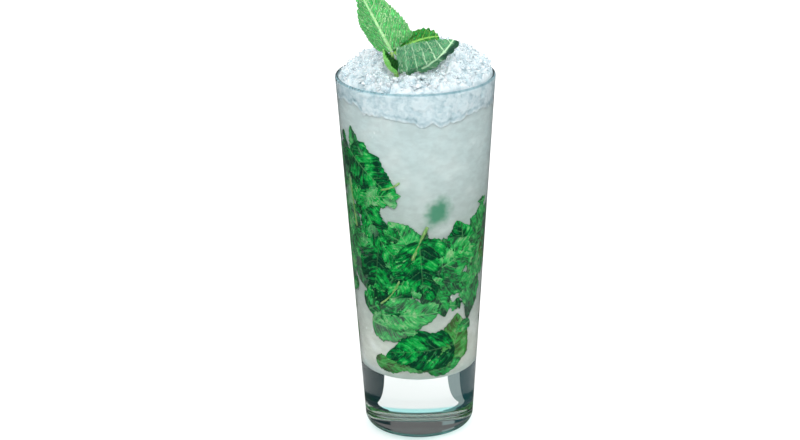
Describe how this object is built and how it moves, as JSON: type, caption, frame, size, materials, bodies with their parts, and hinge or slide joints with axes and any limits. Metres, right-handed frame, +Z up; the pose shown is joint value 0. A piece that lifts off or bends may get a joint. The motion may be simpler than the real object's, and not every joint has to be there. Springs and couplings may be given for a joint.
{
  "type": "mint cocktail in a highball glass",
  "caption": "Tall heavy-based highball glass of cloudy lime and rum drink with muddled mint, heaped with crushed ice and topped with a mint sprig.",
  "frame": {"origin": "middle of the underside of the glass, on the table", "axes": "+Z up along the axis of the glass; +X to the right and -Y towards the viewer, with the mint sprig standing on the -Y side"},
  "size_m": [0.068, 0.068, 0.2004],
  "materials": {
    "glass": "clear, polished, smooth",
    "drink": "cloudy pale grey-green liquid with sunk mint",
    "crushed_ice": "wet crushed ice, clear to white",
    "mint_stem": "fresh green stem, softly glossy",
    "mint_leaf": "fresh mint leaf, upper face, veined, softly glossy",
    "mint_leaf_under": "fresh mint leaf, grey-green underside with pale raised veins"
  },
  "bodies": {
    "root": {"glass": "glass", "drink": "drink", "crushed_ice": "crushed_ice", "mint_stem": "mint_stem", "mint_leaf_tall": "mint_leaf", "mint_leaf_side": "mint_leaf_under", "mint_leaf_back": "mint_leaf", "mint_leaf_curled": "mint_leaf"}
  },
  "joints": []
}
